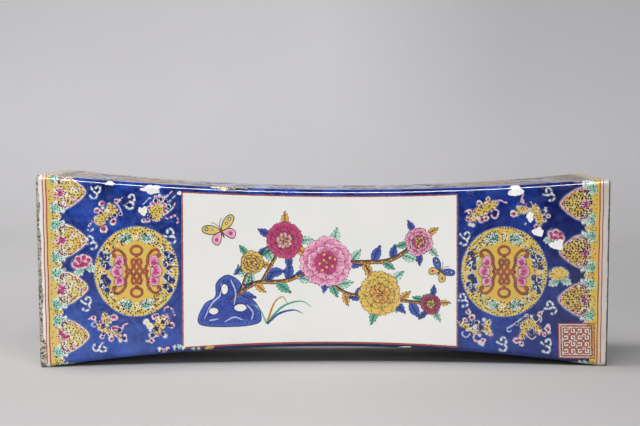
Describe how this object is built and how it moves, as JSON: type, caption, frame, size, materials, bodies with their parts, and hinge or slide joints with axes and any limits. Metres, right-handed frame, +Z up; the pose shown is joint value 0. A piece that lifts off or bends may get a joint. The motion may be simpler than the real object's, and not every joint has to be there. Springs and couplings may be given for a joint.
{
  "type": "ceramic pillow",
  "caption": "Waisted rectangular porcelain pillow, slab-built with concave mitred walls, rounded long edges and square ends pierced with a coin vent; a headrest or display piece.",
  "frame": {"origin": "on the ground at mid length and mid depth, below the arch of the underside", "axes": "+X along the length, -Y toward the front face with the long panel, +Z up"},
  "size_m": [0.38, 0.124, 0.1278],
  "materials": {
    "cobalt_enamel": "gloss",
    "white_glaze": "gloss",
    "biscuit": "matte"
  },
  "bodies": {
    "root": {"front_wall": "cobalt_enamel", "back_wall": "cobalt_enamel", "top_wall": "cobalt_enamel", "base_wall": "cobalt_enamel", "left_end": "white_glaze", "right_end": "white_glaze", "front_top_coil": "biscuit", "back_top_coil": "biscuit", "front_base_coil": "biscuit", "back_base_coil": "biscuit", "left_front_coil": "biscuit", "left_back_coil": "biscuit", "left_top_coil": "biscuit", "left_base_coil": "biscuit", "right_front_coil": "biscuit", "right_back_coil": "biscuit", "right_top_coil": "biscuit", "right_base_coil": "biscuit"}
  },
  "joints": []
}
